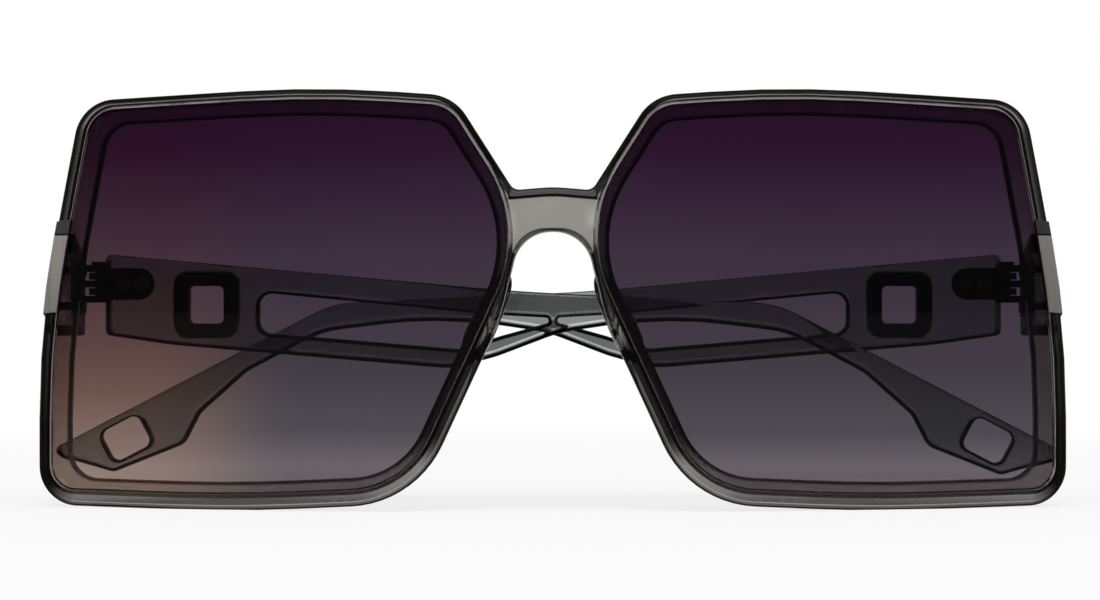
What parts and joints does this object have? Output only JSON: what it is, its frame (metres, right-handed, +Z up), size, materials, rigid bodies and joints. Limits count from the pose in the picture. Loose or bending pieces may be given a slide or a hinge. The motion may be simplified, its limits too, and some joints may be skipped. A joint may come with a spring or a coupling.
{
  "type": "oversized sunglasses",
  "caption": "Oversized square sunglasses with a clear smoky front, graded lenses, satin corner plates and slotted side arms that fold on knuckle hinges.",
  "frame": {"origin": "bottom centre of the folded sunglasses, under the bridge, half way between the front of the bridge and the back of the folded side arms", "axes": "+X towards the wearer's left, +Y from the front of the lenses to the wearer, +Z up"},
  "size_m": [0.1452, 0.0279, 0.0584],
  "materials": {
    "smoke_plastic": "clear smoky grey, polished",
    "lens_tint": "graded tint, plum above and pale below, polished",
    "pad_plastic": "clear, polished",
    "satin_metal": "satin",
    "hinge_metal": "dark satin",
    "screw_metal": "bright, slotted",
    "ring_metal": "dark polish"
  },
  "bodies": {
    "front": {"front_frame": "smoke_plastic", "lens_right": "lens_tint", "lens_left": "lens_tint", "nose_pad_right": "pad_plastic", "nose_pad_left": "pad_plastic", "end_trim_right": "satin_metal", "end_trim_left": "satin_metal", "front_hinge_right": "hinge_metal", "front_hinge_left": "hinge_metal", "front_hinge_screws_right": "screw_metal", "front_hinge_screws_left": "screw_metal", "pivot_screw_right": "screw_metal", "pivot_screw_left": "screw_metal"},
    "right_arm": {"temple_right": "smoke_plastic", "temple_hinge_right": "hinge_metal", "temple_hinge_screws_right": "screw_metal", "temple_ring_right": "ring_metal"},
    "left_arm": {"temple_left": "smoke_plastic", "temple_hinge_left": "hinge_metal", "temple_hinge_screws_left": "screw_metal", "temple_ring_left": "ring_metal"}
  },
  "joints": [
    {"name": "right_hinge", "type": "hinge", "parent": "front", "child": "right_arm", "pos_m": [-0.06502, 0.00703, 0.03151], "axis": [0, 0, 1], "range_deg": [0, 96.2]},
    {"name": "left_hinge", "type": "hinge", "parent": "front", "child": "left_arm", "pos_m": [0.06502, 0.00703, 0.03151], "axis": [0, 0, -1], "range_deg": [0, 92.8]}
  ]
}
